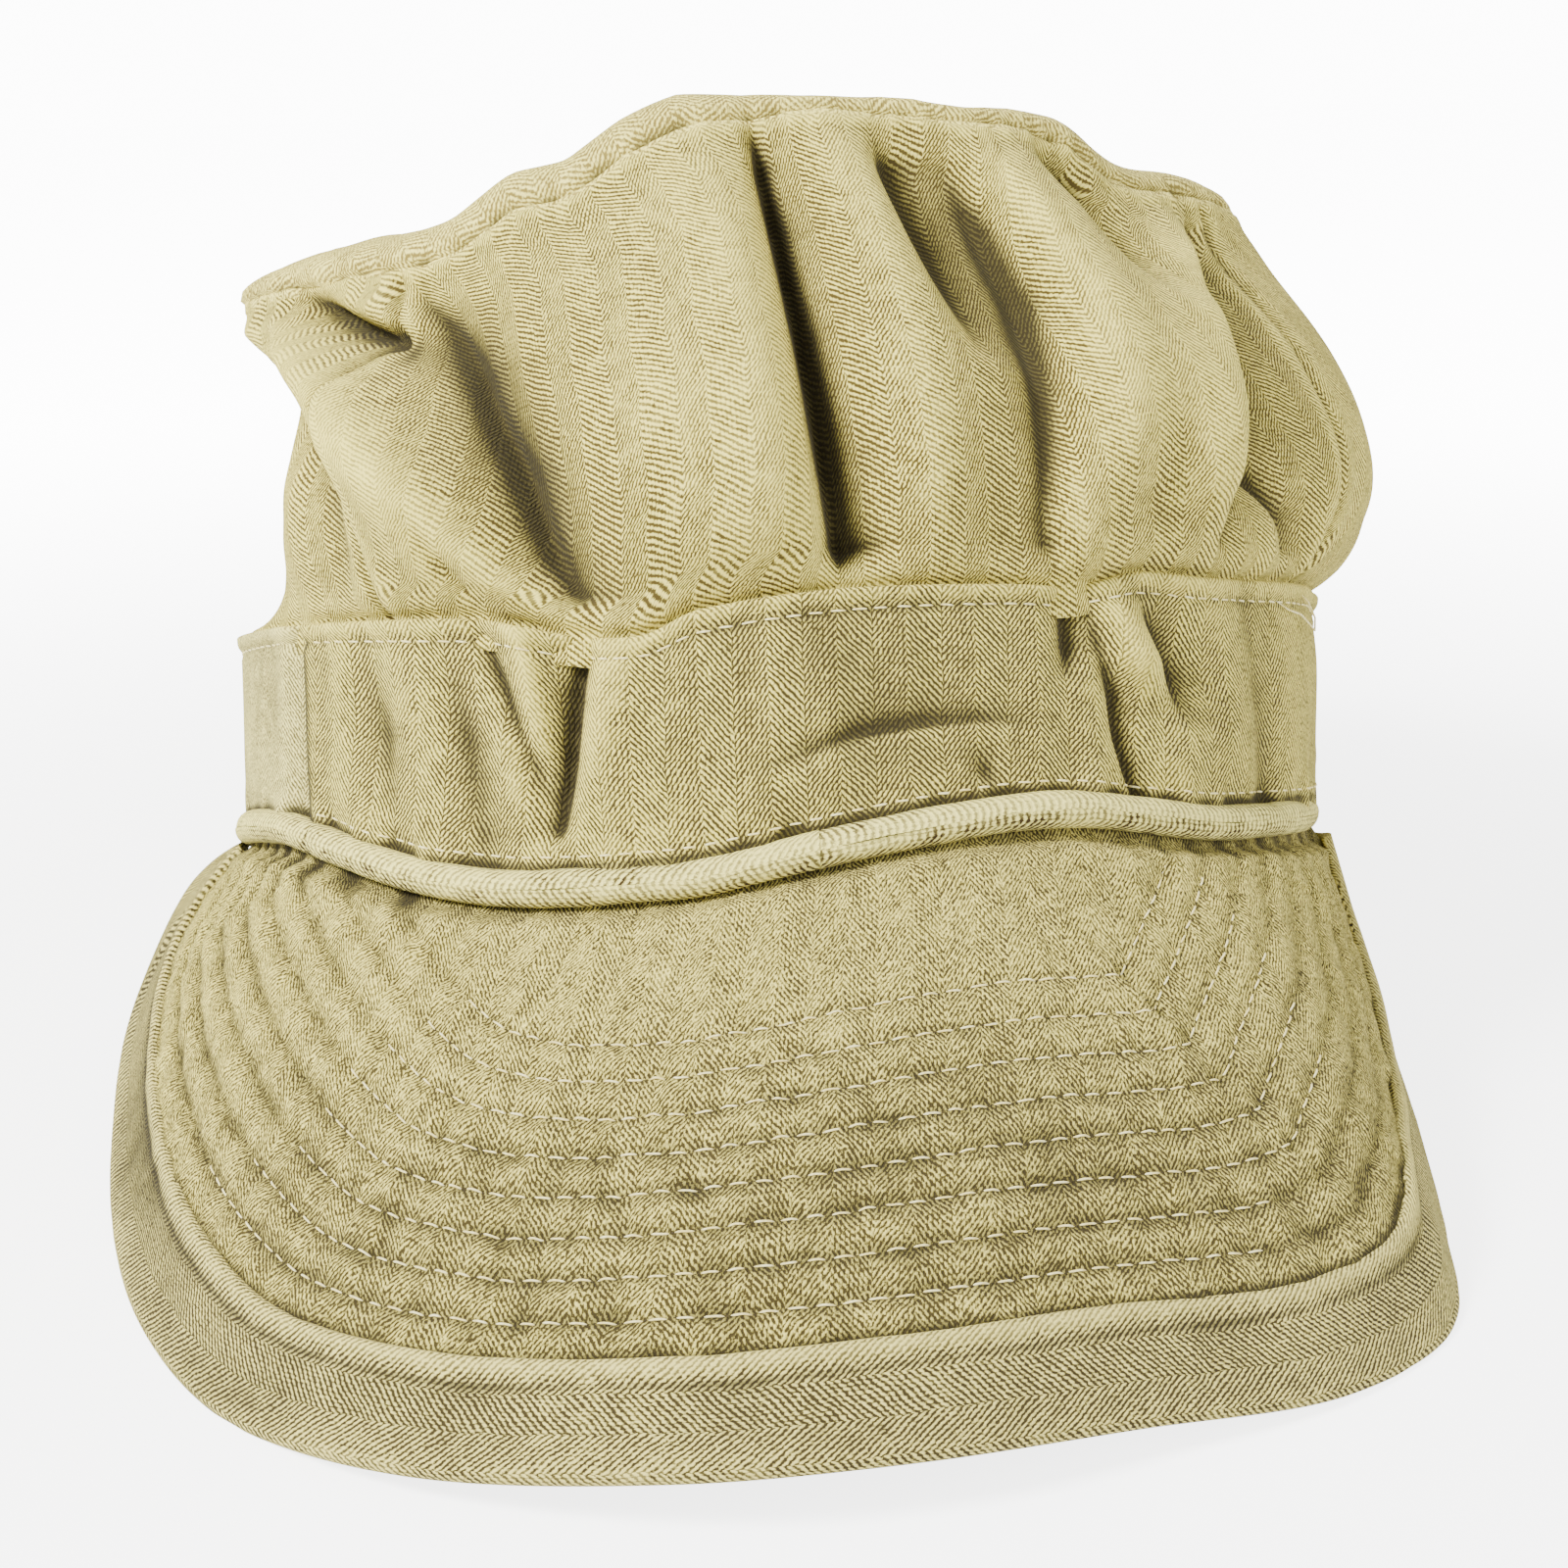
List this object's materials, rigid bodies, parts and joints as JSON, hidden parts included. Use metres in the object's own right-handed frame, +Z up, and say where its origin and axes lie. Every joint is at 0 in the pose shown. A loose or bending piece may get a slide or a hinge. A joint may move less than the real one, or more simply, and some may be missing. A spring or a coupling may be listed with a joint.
{
  "type": "field cap",
  "caption": "Washed herringbone cloth field cap: a full gathered crown on a head band with a rolled edge, and a long row-stitched visor bound with tape.",
  "frame": {"origin": "middle of the cap's outline on the ground, on the surface that it rests on", "axes": "+Z up, the front of the cap and its visor look along -Y, +X is on the right of someone who faces the front"},
  "size_m": [0.2068, 0.2664, 0.1487],
  "materials": {
    "crown_cloth": "washed herringbone twill",
    "band_cloth": "washed herringbone twill",
    "edge_cloth": "herringbone twill worn pale along the roll",
    "visor_cloth": "herringbone twill quilted by rows of stitching, worn pebbly",
    "binding_tape": "narrow herringbone tape"
  },
  "bodies": {
    "root": {"crown_front": "crown_cloth", "crown_back": "crown_cloth", "crown_top": "crown_cloth", "band_front": "band_cloth", "band_back": "band_cloth", "edge_roll": "edge_cloth", "visor": "visor_cloth", "visor_binding": "binding_tape"}
  },
  "joints": []
}
